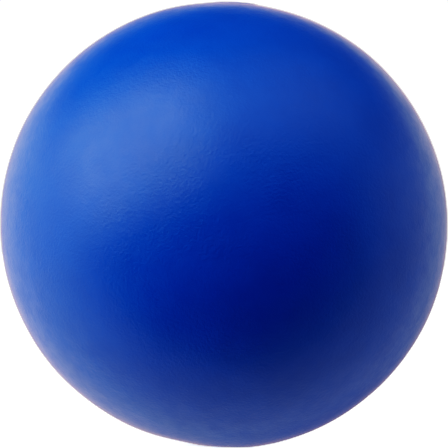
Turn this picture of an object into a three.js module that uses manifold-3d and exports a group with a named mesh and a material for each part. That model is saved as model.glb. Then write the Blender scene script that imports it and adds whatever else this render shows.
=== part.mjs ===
// A moulded soft foam stress ball that sits on a small flat.
//
// Millimetres, +Z up, origin at the middle of the flat the ball rests on. Y is the axis that the two mould
// halves close along, so the parting plane is Y = 0, and -Y is the ball's front. The mould is filled through
// a spout at the top of its parting plane. Each half is sprayed with an elastic coat before the foam goes in,
// so the ball is one foam core in two half coats, with trimmed flash between them and a trimmed gate on top.
import * as THREE from "three";
import { mergeVertices } from "three/addons/utils/BufferGeometryUtils.js";
import Module from "manifold-3d";

const wasm = await Module();
wasm.setup();

// Driving dimensions
const BALL_DIAMETER = 63;
const FLAT_DEPTH = 0.5; // how much of the round bottom the resting flat takes away
const COAT_THICKNESS = 1;
const BOND_GAP = 0.3; // glue line left between neighbouring pieces
const STRIP_WIDTH = 0.8; // trimmed flash between the two half coats
const STRIP_PROUD = 0.04; // the touched-up flash stands this far above the coats
const GATE_DIAMETER = 8.7;
const GATE_PROUD = 0.15; // the touched-up gate stands this far above the coats
const GATE_DEPTH = 0.8; // thickness of the touch-up at the rim of the gate

// Fineness of the round surfaces
const STEPS_AROUND = 48;
const STEPS_PER_QUARTER = 12; // from the equator to the flat, and from the equator to the gate
const STEPS_OVER_GATE = 4;

// Sizes that follow from the driving dimensions
const BALL_RADIUS = BALL_DIAMETER / 2;
const CENTRE_HEIGHT = BALL_RADIUS - FLAT_DEPTH;
const GATE_RADIUS = GATE_DIAMETER / 2;
const GATE_HOLE_RADIUS = GATE_RADIUS + BOND_GAP;
const NECK_RADIUS = GATE_RADIUS - BOND_GAP;
const CORE_DEPTH = COAT_THICKNESS + BOND_GAP;
const STRIP_HALF_WIDTH = STRIP_WIDTH / 2;
const COAT_EDGE = STRIP_HALF_WIDTH + BOND_GAP; // distance from the parting plane to each coat's edge
const GATE_UNDERSIDE = heightOnSphere(BALL_RADIUS + GATE_PROUD, GATE_RADIUS) - GATE_DEPTH;
const CUTTER_SIZE = 2 * BALL_DIAMETER;

const COAT_BLUE = 0x0049aa;
const TOUCH_UP_BLUE = 0x0d4daa;
const FOAM_CREAM = 0xe9e2cf;

// Height above the floor of the top of a sphere about the ball's centre, at a distance from the Z axis.
function heightOnSphere(sphereRadius, distance) {
  return CENTRE_HEIGHT + Math.sqrt(sphereRadius ** 2 - distance ** 2);
}

// Points (distance from the axis, height) along a sphere about the ball's centre, between two elevations.
function arc(sphereRadius, startElevation, endElevation, steps) {
  const points = [];
  for (let i = 0; i <= steps; i += 1) {
    const elevation = THREE.MathUtils.lerp(startElevation, endElevation, i / steps);
    const distance = sphereRadius * Math.cos(elevation);
    const height = CENTRE_HEIGHT + sphereRadius * Math.sin(elevation);
    points.push(new THREE.Vector2(distance, height));
  }
  return points;
}

// Side of the ball at a depth under its surface: from the rim of the flat up to a distance from the axis.
function sideOutline(depth, topDistance) {
  const radius = BALL_RADIUS - depth;
  const flatHeight = Math.max(depth, 0);
  const flatElevation = Math.asin((flatHeight - CENTRE_HEIGHT) / radius);
  const topElevation = Math.acos(topDistance / radius);
  const belowEquator = arc(radius, flatElevation, 0, STEPS_PER_QUARTER);
  const aboveEquator = arc(radius, 0, topElevation, STEPS_PER_QUARTER);
  return [...belowEquator, ...aboveEquator.slice(1)];
}

// Turns an outline, listed from the bottom of the axis to the top, about the Z axis.
function revolve(outline) {
  return new THREE.LatheGeometry(outline, STEPS_AROUND).rotateX(Math.PI / 2);
}

// A closed solid from a geometry whose shared corners are merged and whose collapsed triangles are dropped.
function toSolid(geometry) {
  const bare = geometry.clone();
  bare.deleteAttribute("normal");
  bare.deleteAttribute("uv");
  const merged = mergeVertices(bare);
  const triangles = [];
  for (let i = 0; i < merged.index.count; i += 3) {
    const [a, b, c] = [0, 1, 2].map((k) => merged.index.getX(i + k));
    if (a !== b && b !== c && c !== a) {
      triangles.push(a, b, c);
    }
  }
  return new wasm.Manifold(
    new wasm.Mesh({
      numProp: 3,
      vertProperties: new Float32Array(merged.attributes.position.array),
      triVerts: new Uint32Array(triangles),
    }),
  );
}

function toGeometry(solid) {
  const { vertProperties, triVerts } = solid.getMesh();
  const geometry = new THREE.BufferGeometry();
  geometry.setAttribute("position", new THREE.BufferAttribute(vertProperties, 3));
  geometry.setIndex(new THREE.BufferAttribute(triVerts, 1));
  geometry.computeVertexNormals();
  return geometry;
}

// Everything between two planes square to Y.
function slab(fromY, toY) {
  const box = new THREE.BoxGeometry(CUTTER_SIZE, toY - fromY, CUTTER_SIZE);
  return toSolid(box.translate(0, (fromY + toY) / 2, 0));
}

// The coat all round, open only at the gate, and standing proud of the ball by a given amount.
function wholeCoat(proud) {
  const outside = sideOutline(-proud, GATE_HOLE_RADIUS);
  const inside = sideOutline(COAT_THICKNESS, GATE_HOLE_RADIUS);
  const bottomOutside = new THREE.Vector2(0, 0);
  const bottomInside = new THREE.Vector2(0, COAT_THICKNESS);
  return toSolid(revolve([bottomOutside, ...outside, ...inside.reverse(), bottomInside]));
}

function frontCoat() {
  return wholeCoat(0).intersect(slab(-BALL_DIAMETER, -COAT_EDGE));
}

function rearCoat() {
  return wholeCoat(0).intersect(slab(COAT_EDGE, BALL_DIAMETER));
}

// The flash fin between the coats, level with the flat at the bottom and ending at the gate on each side.
function seamStrip() {
  return wholeCoat(STRIP_PROUD).intersect(slab(-STRIP_HALF_WIDTH, STRIP_HALF_WIDTH));
}

// The foam filling, with the cut-off neck that filled the spout.
function foamCore() {
  const bottom = new THREE.Vector2(0, CORE_DEPTH);
  const neckTop = GATE_UNDERSIDE - BOND_GAP;
  const neck = [new THREE.Vector2(NECK_RADIUS, neckTop), new THREE.Vector2(0, neckTop)];
  return toSolid(revolve([bottom, ...sideOutline(CORE_DEPTH, NECK_RADIUS), ...neck]));
}

// The domed touch-up over the cut-off neck.
function gatePatch() {
  const domeRadius = BALL_RADIUS + GATE_PROUD;
  const rimElevation = Math.acos(GATE_RADIUS / domeRadius);
  const dome = arc(domeRadius, rimElevation, Math.PI / 2, STEPS_OVER_GATE);
  dome.at(-1).x = 0;
  const underside = [new THREE.Vector2(0, GATE_UNDERSIDE), new THREE.Vector2(GATE_RADIUS, GATE_UNDERSIDE)];
  return toSolid(revolve([...underside, ...dome]));
}

function coatMaterial() {
  return new THREE.MeshStandardMaterial({ color: COAT_BLUE, roughness: 0.42, metalness: 0 });
}

function touchUpMaterial() {
  return new THREE.MeshStandardMaterial({ color: TOUCH_UP_BLUE, roughness: 0.55, metalness: 0 });
}

function foamMaterial() {
  return new THREE.MeshStandardMaterial({ color: FOAM_CREAM, roughness: 0.95, metalness: 0 });
}

function piece(name, solid, material) {
  const mesh = new THREE.Mesh(toGeometry(solid), material);
  mesh.name = name;
  return mesh;
}

const stressBall = new THREE.Group();
stressBall.add(
  piece("skin_front", frontCoat(), coatMaterial()),
  piece("skin_rear", rearCoat(), coatMaterial()),
  piece("seam_strip", seamStrip(), touchUpMaterial()),
  piece("foam_core", foamCore(), foamMaterial()),
  piece("gate_patch", gatePatch(), touchUpMaterial()),
);

export default stressBall;
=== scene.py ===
"""A moulded soft foam stress ball in two half coats, on a plain pale floor.

Metres, in the frame's own axes: +Z up, Y across the seam, -Y towards the camera.
"""

import math

import bmesh
import bpy
import numpy as np
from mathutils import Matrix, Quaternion, Vector, noise


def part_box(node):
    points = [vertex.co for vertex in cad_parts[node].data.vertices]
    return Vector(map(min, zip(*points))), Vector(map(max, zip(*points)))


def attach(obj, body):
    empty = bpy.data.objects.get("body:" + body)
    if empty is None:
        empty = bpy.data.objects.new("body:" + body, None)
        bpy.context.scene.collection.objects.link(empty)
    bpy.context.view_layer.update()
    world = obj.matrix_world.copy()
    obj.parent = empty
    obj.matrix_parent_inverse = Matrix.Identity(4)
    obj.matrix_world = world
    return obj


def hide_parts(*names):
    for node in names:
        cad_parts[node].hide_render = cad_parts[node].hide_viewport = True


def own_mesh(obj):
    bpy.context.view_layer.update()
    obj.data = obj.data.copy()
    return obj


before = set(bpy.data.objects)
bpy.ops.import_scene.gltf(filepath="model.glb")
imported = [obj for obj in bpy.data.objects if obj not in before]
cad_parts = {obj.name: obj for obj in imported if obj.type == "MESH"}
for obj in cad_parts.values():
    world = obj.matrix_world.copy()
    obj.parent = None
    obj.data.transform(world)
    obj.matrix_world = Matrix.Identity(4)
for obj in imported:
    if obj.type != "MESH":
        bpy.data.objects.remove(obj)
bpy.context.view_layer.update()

MM = 0.001

# Sizes taken from the frame, and the depth of the flat that the ball rests on
gate_low, gate_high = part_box("gate_patch")
core_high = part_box("foam_core")[1]
BALL_RADIUS = round(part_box("skin_rear")[1].y, 4)
CORE_RADIUS = core_high.x
FLAT_DEPTH = 0.5 * MM
CENTRE_HEIGHT = BALL_RADIUS - FLAT_DEPTH
CENTRE = np.array([0, 0, CENTRE_HEIGHT])
GATE_RADIUS = gate_high.x
GATE_UNDERSIDE = gate_low.z
NECK_TOP = core_high.z
STRIP_HALF_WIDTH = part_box("seam_strip")[1].y

# Sizes of the visible surface
COAT_THICKNESS = 1.0 * MM
CORE_DEPTH = BALL_RADIUS - CORE_RADIUS
NECK_CLEARANCE = 0.3 * MM
NECK_RADIUS = GATE_RADIUS - NECK_CLEARANCE
FIT_GAP = 0.02 * MM  # hairline between neighbouring pieces
EDGE_ROUNDING = 0.06 * MM
FLAT_RIM_SOFTNESS = 0.08 * MM
LEAST_DOWNWARD = 0.05  # directions that point down by a smaller share than this never reach the floor
EDGE_STEPS = np.array([0, 0.008, 0.02, 0.04, 0.06, 0.14, 0.3]) * MM  # rows beside an edge of the coat

# The trimmed seam line: proud where the flash was left, lower and narrower where it was cut flush
SEAM_PROUD = 0.045 * MM
SEAM_FLUSH_SHARE = 0.3
SEAM_NARROWING = 0.05 * MM
SEAM_EDGE_DIP = 0.015 * MM
# How much of the flash is left along the seam: its usual share, then the strength, fineness and slice of
# the noise of its slow changes and of its quick ones
TRIM_USUAL = 0.55
TRIM_CHANGES = ((0.6, 5, 0), (0.5, 23, 0.5))

# The gate mark: a knife cut with shallow ridges, painted over
GATE_LIFT = 0.10 * MM
GATE_RISE = (0.9 * MM, 3.0 * MM)  # width of the slope up to it, at its right and at its left
GATE_RIM_SPREAD = 0.05 * MM
GATE_RIM_WANDER = 2.2  # how quickly the rim wanders in and out on its way round
GATE_FACE_SHARE = 0.95  # share of the radius with evenly spaced rings
GATE_RIM_RINGS = [0.965, 0.98, 0.99, 0.996, 1.0]  # shares of the radius, closer together at the rounded rim
KNIFE_RIDGE = 0.015 * MM
KNIFE_SPACING = (1.3 * MM, 5 * MM)
GATE_GRAIN = (0.45 * MM, 0.004 * MM)  # size and height
PORE_COUNT = 18
PORE_SIZES = (0.12 * MM, 0.34 * MM)
PORE_DEPTHS = (0.02 * MM, 0.08 * MM)
PORE_SPREAD = 0.8 * GATE_RADIUS
PORE_WALL_SHAPE = 0.6  # 1 is a plain bowl, and less has a flatter bottom and steeper walls

# Open foam cells: size and depth, in the cut neck and all over the filling
NECK_CELLS = (0.9 * MM, 0.12 * MM)
FILLING_CELLS = (1.1 * MM, 0.14 * MM)
CELL_WALL_SHARE = 0.35

# Low places of the hand-moulded surface, and one high one: azimuth from the front to the right, elevation
# and half-width in degrees, and depth
HOLLOWS = (
    (-90, -43, 45, 0.27 * MM),
    (-90, -68, 20, 0.20 * MM),
    (-90, -80, 9, 0.16 * MM),
    (-60, -80, 8, 0.16 * MM),
    (90, -22, 14, -0.07 * MM),
    (90, 67, 14, 0.13 * MM),
    (0, 90, 15, 0.14 * MM),
    (90, 15, 30, 0.02 * MM),
    (40, 37, 5, 0.02 * MM),
    (47, -11, 4, 0.02 * MM),
    (42, -18, 3, 0.015 * MM),
    (58, -41, 5, 0.02 * MM),
)
WAVES = 24
WAVE_LENGTHS = (7 * MM, 22 * MM)
WAVE_HEIGHT = 0.004 * MM

# Most values of a noise from 0 to 1 lie within these ranges
NOISE_RANGE = (0.3, 0.7)
WIDE_NOISE_RANGE = (0.25, 0.75)

# The blue paint: its colours, its gloss and its pale rim
PAINT_BLUES = ((0.0, 0.064, 0.385), (0.0, 0.070, 0.415))
PAINT_CLOUDING_SIZE = 7 * MM
PAINT_ROUGHNESS = (0.36, 0.45)
PAINT_ROUGHNESS_SIZE = 2.2 * MM
PAINT_SPECULAR = 0.39
PAINT_SHEEN = 0.95
SHEEN_ROUGHNESS = 0.16
SHEEN_TINT = (1.0, 0.62, 0.58, 1)

# The coat's texture, as sizes and heights, and how much of the pebbling is left in faint patches, at the
# top and at the right
ORANGE_PEEL = (1.8 * MM, 0.02 * MM)
PEBBLING = (0.39 * MM, 0.053 * MM)
PATCH_SIZE = 8 * MM
FAINT_PATCH_SHARE = 0.6
SMOOTHER_TOP = (38 * MM, 56 * MM)
TOP_SHARE = 0.75
SMOOTHER_RIGHT = (8 * MM, 26 * MM)
RIGHT_SHARE = 0.5
PINHOLES = (2.6 * MM, 0.16 * MM)  # spacing and radius
PINHOLE_DEPTH = 0.01 * MM

# The paint brushed over the seam and the gate
TOUCH_UP_BLUES = ((0.002, 0.066, 0.360), (0.006, 0.082, 0.440))
STROKE_SIZE = 1.1 * MM
TOUCH_UP_ROUGHNESS = (0.36, 0.48)
TOUCH_UP_ROUGHNESS_SIZE = 0.8 * MM
TOUCH_UP_GRAIN = (0.3 * MM, 0.006 * MM)

# The foam
FOAM_CREAMS = ((0.74, 0.66, 0.49), (0.84, 0.78, 0.64))
FOAM_CLOUDING_SIZE = 5 * MM
FOAM_ROUGHNESS = (0.86, 0.98)
FOAM_ROUGHNESS_SIZE = 1.2 * MM
FOAM_SPECULAR = 0.2
FINE_CELLS = (0.45 * MM, 0.22 * MM)  # spacing and radius
FINE_CELL_DEPTH = 0.06 * MM

# Studio and camera
CAMERA_DISTANCE = 0.6
CAMERA_ROLL = math.radians(-1.95)
SHOWN_RADIUS_SHARE = 0.5003  # the ball's radius as a share of the picture's width
FRAME_OFFSET = (0.05 * MM, 0.20 * MM)  # how far to the right and above the ball's centre the camera is
SENSOR_WIDTH = 36.0
CLIP_DISTANCES = (0.01, 20)
WHITE = (1, 1, 1, 1)
FLOOR_SIZE = 6.0
FLOOR_HEIGHT = -0.05 * MM
FLOOR_ALBEDO = 0.6
# By the ball's foot the floor glows less: painted shade round where the ball stands
FLOOR_GLOW_IN_PAINTED_SHADE = 0.8
PAINTED_SHADE_FADE = (0.0, 0.008)  # distances from the ball's foot
BACKDROP_WHITE = 1.05
KEY_LIGHT = {
    "azimuth": -58.5,
    "elevation": 34.8,
    "distance": 0.6,
    "width": 0.75,
    "height": 0.72,
    "roll": 41,
    "radiance": 2.6,
}
SWEEP_RADIANCE = 0.88
SWEEP_DIMMING = 0.27  # by what share the sweep is dimmer at the far right than in the middle
SWEEP_FRONT_EDGE = (-0.47, -0.15)  # share of a direction that points back, where the sweep begins
SWEEP_TOP_EDGE = (0.225, 0.545)  # share of a direction that points up, where the sweep ends
# Soft round spots of the surroundings: azimuth, elevation, sharpness, strength
BALL_SHADOW = (169, -19, 13, -1.0)
GLOWS = ((177, 5, 8.2, 0.30), (77, 55, 8.6, 0.88), (1, 55, 8.3, 0.95))
COMBINED_CURVE = 3  # the curve for red, green and blue together
TONE_CURVE = (
    (0.01, 0.0006),
    (0.02, 0.0026),
    (0.055, 0.0285),
    (0.12, 0.130),
    (0.18, 0.237),
    (0.26, 0.362),
    (0.36, 0.498),
    (0.5, 0.652),
    (0.7, 0.73),
    (0.9, 0.86),
)


def facing(azimuth, elevation):
    """Unit vector at an azimuth from the front towards the right, and an elevation, both in degrees."""
    turn = math.radians(azimuth)
    rise = math.radians(elevation)
    return np.array([math.cos(rise) * math.sin(turn), -math.cos(rise) * math.cos(turn), math.sin(rise)])


def ring(elevation, azimuths, side=1):
    """Directions at one elevation, in radians. Azimuths run from +X to +Y, or to -Y where side is -1."""
    return np.stack(
        [
            math.cos(elevation) * np.cos(azimuths),
            side * math.cos(elevation) * np.sin(azimuths),
            np.full_like(azimuths, math.sin(elevation)),
        ],
        axis=-1,
    )


def unit(vectors):
    """The same directions with a length of 1."""
    return vectors / np.linalg.norm(vectors, axis=-1, keepdims=True)


def smooth_min(first, second, softness):
    """The smaller of two values, with the corner where they cross rounded over this softness."""
    share = np.clip(0.5 + 0.5 * (second - first) / softness, 0, 1)
    return second + (first - second) * share - softness * share * (1 - share)


def eased(share):
    """A share from 0 to 1 that starts and ends gently."""
    return share * share * (3 - 2 * share)


def waviness(directions, seed=11):
    """Gentle moulding waves over the ball."""
    draw = np.random.default_rng(seed)
    total = np.zeros(directions.shape[:-1])
    for _ in range(WAVES):
        along = unit(draw.normal(size=3))
        turns = 2 * math.pi * BALL_RADIUS / draw.uniform(*WAVE_LENGTHS)
        total += np.sin(directions @ along * turns + draw.uniform(0, 2 * math.pi))
    return WAVE_HEIGHT * total


def unevenness(directions):
    """How far the real surface stands off a true sphere."""
    offset = waviness(directions)
    for azimuth, elevation, half_width, depth in HOLLOWS:
        angle = np.degrees(np.arccos(np.clip(directions @ facing(azimuth, elevation), -1, 1)))
        offset -= depth * np.exp(-((angle / half_width) ** 2))
    return offset


def ball_radius(directions, raised=0.0):
    """Distance from the ball's centre to its surface, which ends at the flat that it rests on."""
    sphere = BALL_RADIUS + unevenness(directions) + raised
    to_floor = CENTRE_HEIGHT / np.maximum(-directions[..., 2], LEAST_DOWNWARD)
    return smooth_min(sphere, to_floor, FLAT_RIM_SOFTNESS)


def surface(directions, raised=0.0, depth=0.0):
    """Points on the ball in these directions from its centre, or at a depth under its surface."""
    return CENTRE + directions * (ball_radius(directions, raised) - depth)[..., None]


def edge_drop(distance):
    """How far a piece's surface has rounded down at a distance from its edge."""
    inside = np.clip(EDGE_ROUNDING - distance, 0, EDGE_ROUNDING)
    return EDGE_ROUNDING - np.sqrt(EDGE_ROUNDING**2 - inside**2)


def loft(name, loops):
    """A closed mesh over loops of points, whose ends are closed by joining each loop's two halves."""
    loops = np.asarray(loops)
    count, size, _ = loops.shape
    faces = []
    for i in range(count - 1):
        for k in range(size):
            after = (k + 1) % size
            faces.append((i * size + k, i * size + after, (i + 1) * size + after, (i + 1) * size + k))
    for start in (0, (count - 1) * size):
        for k in range(size // 2 - 1):
            faces.append((start + k, start + k + 1, start + size - 2 - k, start + size - 1 - k))
    mesh = bpy.data.meshes.new(name)
    mesh.from_pydata(loops.reshape(-1, 3).tolist(), [], faces)
    tidy_mesh(mesh)
    piece = bpy.data.objects.new(name, mesh)
    bpy.context.scene.collection.objects.link(piece)
    return piece


def tidy_mesh(mesh, merge_distance=0.0005 * MM, sharp_angle=math.radians(50)):
    """Merges the points that meet at poles and ends, turns the faces outwards and shades them smooth."""
    work = bmesh.new()
    work.from_mesh(mesh)
    bmesh.ops.remove_doubles(work, verts=work.verts, dist=merge_distance)
    bmesh.ops.dissolve_degenerate(work, edges=work.edges, dist=merge_distance)
    bmesh.ops.recalc_face_normals(work, faces=work.faces)
    work.to_mesh(mesh)
    work.free()
    mesh.shade_smooth()
    mesh.set_sharp_from_angle(angle=sharp_angle)


def half_coat(name, side, rows=170, columns=180):
    """One half of the sprayed coat. side is -1 for the front half and 1 for the rear half.

    Its rows go from the gate's rim down to the middle of the flat, and its columns from seam to seam.
    """
    hole_radius = GATE_RADIUS + FIT_GAP
    seam_distance = STRIP_HALF_WIDTH + FIT_GAP
    by_the_gate = np.arccos((hole_radius + EDGE_STEPS) / BALL_RADIUS)
    lowest = -math.pi / 2 + math.asin(seam_distance / CENTRE_HEIGHT)
    down = np.linspace(by_the_gate[-1], lowest, rows)[1:]
    elevations = np.concatenate([by_the_gate, down])

    loops = []
    for elevation in elevations:
        from_axis = BALL_RADIUS * math.cos(elevation)
        if elevation < -math.pi / 4:
            # A row that crosses the flat lies closer to the axis there than on the sphere
            from_axis = min(from_axis, CENTRE_HEIGHT / math.tan(-elevation))
        beside_seam = np.arcsin(np.clip((seam_distance + EDGE_STEPS) / from_axis, 0, 1))
        middle = np.linspace(beside_seam[-1], math.pi - beside_seam[-1], columns)[1:-1]
        azimuths = np.concatenate([beside_seam, middle, math.pi - beside_seam[::-1]])
        directions = ring(elevation, azimuths, side)
        to_seam = np.abs(directions[:, 1]) * BALL_RADIUS - seam_distance
        to_gate = from_axis - hole_radius if elevation > 0 else BALL_RADIUS
        drop = edge_drop(np.minimum(to_seam, to_gate))
        outside = surface(directions, depth=drop)
        inside = surface(directions, depth=COAT_THICKNESS)
        loops.append(np.concatenate([outside, inside[::-1]]))
    return loft(name, loops)


def trim_marks(angle):
    """How high the trimmed flash still stands along the seam, from 0 where it is cut flush to 1."""
    left_over = TRIM_USUAL
    for strength, fineness, noise_slice in TRIM_CHANGES:
        way = Vector((math.cos(angle), math.sin(angle), noise_slice))
        left_over += strength * noise.noise(way * fineness)
    return min(max(left_over, 0), 1)


def seam_line(name, stations=1100, across=9):
    """The trimmed flash between the half coats: a low crowned line from the gate round to the gate."""
    first = math.asin((GATE_RADIUS + FIT_GAP) / BALL_RADIUS)
    loops = []
    for angle in np.linspace(first, 2 * math.pi - first, stations):
        left_over = trim_marks(angle)
        half_width = STRIP_HALF_WIDTH - SEAM_NARROWING * (1 - left_over)
        beside = np.linspace(-half_width, half_width, across)
        straight = np.sqrt(1 - (beside / BALL_RADIUS) ** 2)
        directions = np.stack(
            [straight * math.sin(angle), beside / BALL_RADIUS, straight * math.cos(angle)], axis=-1
        )
        crown = 1 - (beside / half_width) ** 2
        proud = SEAM_PROUD * (SEAM_FLUSH_SHARE + (1 - SEAM_FLUSH_SHARE) * left_over)
        raised = proud * crown - SEAM_EDGE_DIP * (1 - crown)
        top = surface(directions, raised=raised)
        bottom = surface(directions, depth=COAT_THICKNESS)
        loops.append(np.concatenate([top, bottom[::-1]]))
    return loft(name, loops)


def pores(points, seed=5):
    """Burst bubbles in the cut face of the gate mark: how deep each point lies below it."""
    draw = np.random.default_rng(seed)
    depth = np.zeros(len(points))
    for _ in range(PORE_COUNT):
        angle = draw.uniform(0, 2 * math.pi)
        centre = PORE_SPREAD * math.sqrt(draw.uniform()) * np.array([math.cos(angle), math.sin(angle)])
        radius = draw.uniform(*PORE_SIZES)
        deepest = draw.uniform(*PORE_DEPTHS)
        distance = np.linalg.norm(points - centre, axis=1) / radius
        depth = np.maximum(depth, deepest * np.clip(1 - distance**2, 0, 1) ** PORE_WALL_SHAPE)
    return depth


def cut_face(points):
    """How far the knife's ridges and the paint's grain stand up at these points of the gate mark."""
    ridges = KNIFE_RIDGE * np.sin(points[:, 0] / KNIFE_SPACING[0] + points[:, 1] / KNIFE_SPACING[1])
    grain_size, grain_height = GATE_GRAIN
    grain = np.array([noise.noise(Vector((*point, 0)) / grain_size) for point in points])
    return ridges + grain_height * grain


def gate_mark(name, rings=64, around=180):
    """The stub of the filling spout, cut off with a knife and painted over, so it is low, uneven and pored.

    It rises from the coat steeply at its right side and gently at its left side.
    """
    angles = np.linspace(0, 2 * math.pi, around, endpoint=False)
    circle = np.stack([np.cos(angles), np.sin(angles)], axis=-1)
    wander = np.array([noise.noise(Vector((x, y, 0)) * GATE_RIM_WANDER) for x, y in circle])
    rim_radius = GATE_RADIUS - GATE_RIM_SPREAD + GATE_RIM_SPREAD * wander
    rise_width = GATE_RISE[0] + (GATE_RISE[1] - GATE_RISE[0]) * (1 - circle[:, 0]) / 2
    loops = []
    for share in np.concatenate([np.linspace(0, GATE_FACE_SHARE, rings), GATE_RIM_RINGS]):
        flat_points = circle * (rim_radius * share)[:, None]
        up = np.sqrt(BALL_RADIUS**2 - np.sum(flat_points**2, axis=1))
        directions = unit(np.column_stack([flat_points, up]))
        to_rim = rim_radius * (1 - share)
        risen = np.clip(to_rim / rise_width, 0, 1)
        lift = (GATE_LIFT + cut_face(flat_points)) * eased(risen)
        lift -= pores(flat_points)
        loops.append(surface(directions, raised=lift, depth=edge_drop(to_rim)))
    for radius_share in (1.0, 0.5, 0.0):
        underside = np.full(around, GATE_UNDERSIDE)
        loops.append(np.column_stack([circle * (rim_radius * radius_share)[:, None], underside]))
    return loft(name, loops)


def open_cells(points, cell_size, depth):
    """How far cut foam cells sink between their walls at each point."""
    sunk = np.zeros(len(points))
    for i, point in enumerate(points):
        distances, _ = noise.voronoi(Vector(point) / cell_size)
        sunk[i] = depth * eased(min((distances[1] - distances[0]) / CELL_WALL_SHARE, 1))
    return sunk


def foam_filling(name, rows=170, around=300, neck_rings=16):
    """The foam inside the coats, with the neck that filled the spout and open cells all over."""
    angles = np.linspace(0, 2 * math.pi, around, endpoint=False)
    neck_elevation = math.acos(NECK_RADIUS / CORE_RADIUS)
    loops = []
    for radius in np.linspace(0, NECK_RADIUS, neck_rings):
        top = np.column_stack([radius * np.cos(angles), radius * np.sin(angles), np.full(around, NECK_TOP)])
        sunk = open_cells(top, *NECK_CELLS)
        loops.append(top - np.outer(sunk, [0, 0, 1]))
    for elevation in np.linspace(neck_elevation, -math.pi / 2, rows):
        directions = ring(elevation, angles)
        skin = surface(directions, depth=CORE_DEPTH)
        sunk = open_cells(skin, *FILLING_CELLS)
        loops.append(skin - directions * sunk[:, None])
    return loft(name, loops)


class Nodes:
    """Short calls for building one node tree, whose textures are placed by these coordinates."""

    def __init__(self, tree, coordinates="Object"):
        self.tree = tree
        self.tree.nodes.clear()
        self.place = self.add("ShaderNodeTexCoord").outputs[coordinates]

    def add(self, kind, **settings):
        """A new node of this kind with these settings."""
        node = self.tree.nodes.new(kind)
        for key, value in settings.items():
            setattr(node, key, value)
        return node

    def link(self, source, target):
        self.tree.links.new(source, target)

    def noise(self, size, detail=2.0, roughness=0.5, distortion=0.0):
        """Noise between 0 and 1 with features of this size in metres."""
        node = self.add("ShaderNodeTexNoise")
        node.inputs["Scale"].default_value = 1 / size
        node.inputs["Detail"].default_value = detail
        node.inputs["Roughness"].default_value = roughness
        node.inputs["Distortion"].default_value = distortion
        self.link(self.place, node.inputs["Vector"])
        return node.outputs["Fac"]

    def spots(self, spacing, radius):
        """1 in the middle of scattered round spots, falling to 0 at their radius."""
        node = self.add("ShaderNodeTexVoronoi")
        node.inputs["Scale"].default_value = 1 / spacing
        self.link(self.place, node.inputs["Vector"])
        return self.ranged(node.outputs["Distance"], 0, radius / spacing, 1, 0)

    def ranged(self, value, from_low, from_high, to_low, to_high):
        """Takes a value smoothly from one range to another and holds it beyond their ends."""
        node = self.add("ShaderNodeMapRange", interpolation_type="SMOOTHSTEP")
        for name, number in (
            ("From Min", from_low),
            ("From Max", from_high),
            ("To Min", to_low),
            ("To Max", to_high),
        ):
            node.inputs[name].default_value = number
        self.link(value, node.inputs["Value"])
        return node.outputs["Result"]

    def mixed_colour(self, share, first, second):
        """The first colour where the share is 0 and the second where it is 1."""
        node = self.add("ShaderNodeMix", data_type="RGBA")
        node.inputs["A"].default_value = (*first, 1)
        node.inputs["B"].default_value = (*second, 1)
        self.link(share, node.inputs["Factor"])
        return node.outputs["Result"]

    def bump(self, height, distance, under=None):
        """The surface raised by a height between 0 and 1 times a distance, over the bump under it."""
        node = self.add("ShaderNodeBump")
        node.inputs["Strength"].default_value = 1
        node.inputs["Distance"].default_value = distance
        self.link(height, node.inputs["Height"])
        if under:
            self.link(under, node.inputs["Normal"])
        return node.outputs["Normal"]

    def math(self, operation, first, second):
        """Two values added or multiplied, as the operation says."""
        node = self.add("ShaderNodeMath", operation=operation)
        self.link(first, node.inputs[0])
        self.link(second, node.inputs[1])
        return node.outputs["Value"]

    def scaled(self, value, factor, offset):
        """The value times the factor, plus the offset."""
        node = self.add("ShaderNodeMath", operation="MULTIPLY_ADD")
        node.inputs[1].default_value = factor
        node.inputs[2].default_value = offset
        self.link(value, node.inputs[0])
        return node.outputs["Value"]

    def glow(self, azimuth, elevation, sharpness, strength):
        """A soft round spot of the surroundings, strongest towards this azimuth and elevation."""
        toward = self.add("ShaderNodeVectorMath", operation="DOT_PRODUCT")
        toward.inputs[1].default_value = facing(azimuth, elevation)
        self.link(self.place, toward.inputs[0])
        falling = self.add("ShaderNodeMath", operation="EXPONENT")
        self.link(self.scaled(toward.outputs["Value"], sharpness, -sharpness), falling.inputs[0])
        return self.scaled(falling.outputs["Value"], strength, 0)

    def shade(self, colour, roughness, normal, specular=0.5, sheen=0.0):
        """Ends a material's nodes with a Principled shader. sheen is the strength of a powdery pale rim."""
        shader = self.add("ShaderNodeBsdfPrincipled")
        shader.inputs["Specular IOR Level"].default_value = specular
        shader.inputs["Sheen Weight"].default_value = sheen
        shader.inputs["Sheen Roughness"].default_value = SHEEN_ROUGHNESS
        shader.inputs["Sheen Tint"].default_value = SHEEN_TINT
        self.link(colour, shader.inputs["Base Color"])
        self.link(roughness, shader.inputs["Roughness"])
        self.link(normal, shader.inputs["Normal"])
        output = self.add("ShaderNodeOutputMaterial")
        self.link(shader.outputs["BSDF"], output.inputs["Surface"])


def new_material(name):
    """An empty material and its nodes."""
    material = bpy.data.materials.new(name)
    material.use_nodes = True
    return material, Nodes(material.node_tree)


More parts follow.
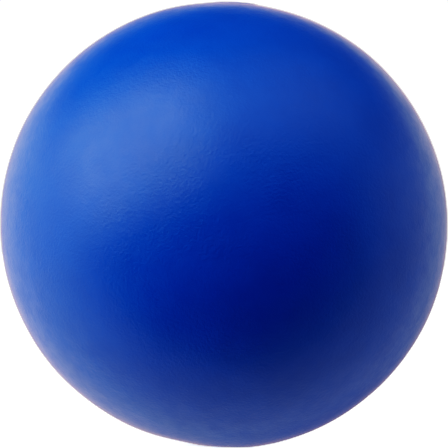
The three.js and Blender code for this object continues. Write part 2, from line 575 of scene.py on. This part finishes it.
def coat_material():
    """Blue elastic paint on a moulded skin: orange peel, patchy pebbling, faint clouding and pinholes."""
    material, nodes = new_material("coat")
    peel_size, peel_height = ORANGE_PEEL
    pebble_size, pebble_height = PEBBLING
    clouds = nodes.noise(PAINT_CLOUDING_SIZE, detail=4, roughness=0.6)
    colour = nodes.mixed_colour(nodes.ranged(clouds, *NOISE_RANGE, 0, 1), *PAINT_BLUES)
    dullness = nodes.noise(PAINT_ROUGHNESS_SIZE, detail=3, roughness=0.7)
    roughness = nodes.ranged(dullness, *WIDE_NOISE_RANGE, *PAINT_ROUGHNESS)
    peel = nodes.bump(nodes.noise(peel_size, detail=1), peel_height)
    patches = nodes.ranged(nodes.noise(PATCH_SIZE, detail=1), *NOISE_RANGE, FAINT_PATCH_SHARE, 1)
    place = nodes.add("ShaderNodeSeparateXYZ")
    nodes.link(nodes.place, place.inputs["Vector"])
    by_the_gate = nodes.ranged(place.outputs["Z"], *SMOOTHER_TOP, 1, TOP_SHARE)
    at_the_right = nodes.ranged(place.outputs["X"], *SMOOTHER_RIGHT, 1, RIGHT_SHARE)
    strength = nodes.math("MULTIPLY", patches, nodes.math("MULTIPLY", by_the_gate, at_the_right))
    pebbling = nodes.math("MULTIPLY", nodes.noise(pebble_size, detail=2, roughness=0.6), strength)
    grain = nodes.bump(pebbling, pebble_height, under=peel)
    around_holes = nodes.ranged(nodes.spots(*PINHOLES), 0, 1, 1, 0)
    pinholes = nodes.bump(around_holes, PINHOLE_DEPTH, under=grain)
    nodes.shade(colour, roughness, pinholes, specular=PAINT_SPECULAR, sheen=PAINT_SHEEN)
    return material


def touch_up_material():
    """The same blue brushed on by hand: a shade lighter, duller and rougher."""
    material, nodes = new_material("touch_up")
    grain_size, grain_height = TOUCH_UP_GRAIN
    strokes = nodes.noise(STROKE_SIZE, detail=3, distortion=1.5)
    colour = nodes.mixed_colour(nodes.ranged(strokes, *NOISE_RANGE, 0, 1), *TOUCH_UP_BLUES)
    dullness = nodes.noise(TOUCH_UP_ROUGHNESS_SIZE, detail=3)
    roughness = nodes.ranged(dullness, *NOISE_RANGE, *TOUCH_UP_ROUGHNESS)
    grain = nodes.bump(nodes.noise(grain_size, detail=3, roughness=0.6), grain_height)
    nodes.shade(colour, roughness, grain, specular=PAINT_SPECULAR, sheen=PAINT_SHEEN)
    return material


def foam_material():
    """Cream polyurethane foam with fine open cells."""
    material, nodes = new_material("foam")
    clouds = nodes.noise(FOAM_CLOUDING_SIZE, detail=4)
    colour = nodes.mixed_colour(nodes.ranged(clouds, *NOISE_RANGE, 0, 1), *FOAM_CREAMS)
    roughness = nodes.ranged(nodes.noise(FOAM_ROUGHNESS_SIZE), *NOISE_RANGE, *FOAM_ROUGHNESS)
    cells = nodes.bump(nodes.spots(*FINE_CELLS), -FINE_CELL_DEPTH)
    nodes.shade(colour, roughness, cells, specular=FOAM_SPECULAR)
    return material


def place_piece(piece, material, body, node):
    """Hangs a finished piece on its body."""
    piece.data.materials.append(material)
    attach(piece, body)
    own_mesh(piece)
    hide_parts(node)


def build_ball():
    coat = coat_material()
    touch_up = touch_up_material()
    foam = foam_material()

    coat_front = half_coat("coat_front", side=-1)
    coat_rear = half_coat("coat_rear", side=1)
    seam = seam_line("seam_line")
    gate = gate_mark("gate_mark")
    filling = foam_filling("foam_filling")

    place_piece(coat_front, coat, "front_half", "skin_front")
    place_piece(coat_rear, coat, "rear_half", "skin_rear")
    place_piece(seam, touch_up, "middle", "seam_strip")
    place_piece(gate, touch_up, "middle", "gate_patch")
    place_piece(filling, foam, "middle", "foam_core")


def soft_box(name, azimuth, elevation, distance, width, height, roll, radiance):
    """A rectangular area light that faces the ball. radiance is what its face shines with."""
    light = bpy.data.lights.new(name, "AREA")
    light.shape = "RECTANGLE"
    light.size = width
    light.size_y = height
    light.energy = radiance * math.pi * width * height
    lamp = bpy.data.objects.new(name, light)
    bpy.context.scene.collection.objects.link(lamp)
    away = Vector(facing(azimuth, elevation))
    lamp.rotation_mode = "QUATERNION"
    lamp.rotation_quaternion = away.to_track_quat("Z", "Y") @ Quaternion((0, 0, 1), math.radians(roll))
    lamp.location = Vector(CENTRE) + away * distance
    lamp.visible_camera = False


def surroundings():
    """White to the camera. To the ball, the white sweep that it stands on, behind and below it."""
    world = bpy.data.worlds.new("surroundings")
    bpy.context.scene.world = world
    world.use_nodes = True
    nodes = Nodes(world.node_tree, "Generated")
    way = nodes.add("ShaderNodeSeparateXYZ")
    nodes.link(nodes.place, way.inputs["Vector"])
    behind = nodes.ranged(way.outputs["Y"], *SWEEP_FRONT_EDGE, 0, SWEEP_RADIANCE)
    below_top = nodes.ranged(way.outputs["Z"], *SWEEP_TOP_EDGE, 1, 0)
    dimmed = nodes.scaled(way.outputs["X"], -SWEEP_DIMMING, 1)
    unshaded = nodes.math("MULTIPLY", nodes.math("MULTIPLY", behind, below_top), dimmed)
    lit = nodes.math("MULTIPLY", unshaded, nodes.scaled(nodes.glow(*BALL_SHADOW), 1, 1))
    for glow in GLOWS:
        lit = nodes.math("ADD", lit, nodes.glow(*glow))
    light_path = nodes.add("ShaderNodeLightPath")
    ball_sees = nodes.add("ShaderNodeBackground")
    nodes.link(lit, ball_sees.inputs["Strength"])
    ball_sees.inputs["Color"].default_value = WHITE
    camera_sees = nodes.add("ShaderNodeBackground")
    camera_sees.inputs["Color"].default_value = WHITE
    camera_sees.inputs["Strength"].default_value = BACKDROP_WHITE
    either = nodes.add("ShaderNodeMixShader")
    nodes.link(light_path.outputs["Is Camera Ray"], either.inputs["Fac"])
    nodes.link(ball_sees.outputs["Background"], either.inputs[1])
    nodes.link(camera_sees.outputs["Background"], either.inputs[2])
    output = nodes.add("ShaderNodeOutputWorld")
    nodes.link(either.outputs["Shader"], output.inputs["Surface"])


def floor_material():
    """Painted shade, pale and matt, round the ball's foot; overexposed to white further off, where it meets
    the backdrop.
    """
    material, nodes = new_material("floor")
    from_ball = nodes.add("ShaderNodeVectorMath", operation="LENGTH")
    nodes.link(nodes.place, from_ball.inputs[0])
    # The glow is turned down near the ball's foot: a painted shade under the ball
    glow = nodes.ranged(from_ball.outputs["Value"], *PAINTED_SHADE_FADE, FLOOR_GLOW_IN_PAINTED_SHADE, BACKDROP_WHITE)
    shine = nodes.add("ShaderNodeEmission")
    nodes.link(glow, shine.inputs["Strength"])
    matt = nodes.add("ShaderNodeBsdfDiffuse")
    matt.inputs["Color"].default_value = (FLOOR_ALBEDO, FLOOR_ALBEDO, FLOOR_ALBEDO, 1)
    both = nodes.add("ShaderNodeAddShader")
    nodes.link(shine.outputs["Emission"], both.inputs[0])
    nodes.link(matt.outputs["BSDF"], both.inputs[1])
    output = nodes.add("ShaderNodeOutputMaterial")
    nodes.link(both.outputs["Shader"], output.inputs["Surface"])
    return material


def floor():
    """Seen by the camera only, because the ball's light from below is in the surroundings."""
    mesh = bpy.data.meshes.new("floor")
    reach = FLOOR_SIZE / 2
    corners = [(-reach, -reach, FLOOR_HEIGHT), (reach, -reach, FLOOR_HEIGHT)]
    corners += [(reach, reach, FLOOR_HEIGHT), (-reach, reach, FLOOR_HEIGHT)]
    mesh.from_pydata(corners, [], [(0, 1, 2, 3)])
    mesh.materials.append(floor_material())
    sheet = bpy.data.objects.new("floor", mesh)
    bpy.context.scene.collection.objects.link(sheet)
    sheet.visible_diffuse = False
    sheet.visible_glossy = False
    sheet.visible_shadow = False


def camera():
    """All but level with the ball's centre, and framed so that the ball fills the picture."""
    data = bpy.data.cameras.new("camera")
    data.sensor_width = SENSOR_WIDTH
    seen_slope = BALL_RADIUS / math.sqrt(CAMERA_DISTANCE**2 - BALL_RADIUS**2)
    data.lens = SENSOR_WIDTH * SHOWN_RADIUS_SHARE / seen_slope
    data.clip_start, data.clip_end = CLIP_DISTANCES
    view = bpy.data.objects.new("camera", data)
    bpy.context.scene.collection.objects.link(view)
    view.location = (FRAME_OFFSET[0], -CAMERA_DISTANCE, CENTRE_HEIGHT + FRAME_OFFSET[1])
    view.rotation_euler = (math.pi / 2, CAMERA_ROLL, 0)
    bpy.context.scene.camera = view


def contrast():
    """The camera's tone curve: deep shadows and a soft shoulder up to white."""
    settings = bpy.context.scene.view_settings
    settings.view_transform = "Standard"
    settings.look = "None"
    settings.use_curve_mapping = True
    curve = settings.curve_mapping.curves[COMBINED_CURVE]
    for seen, shown in TONE_CURVE:
        curve.points.new(seen, shown)
    settings.curve_mapping.update()


def studio():
    soft_box("key", **KEY_LIGHT)
    surroundings()
    floor()
    camera()
    contrast()


build_ball()
studio()
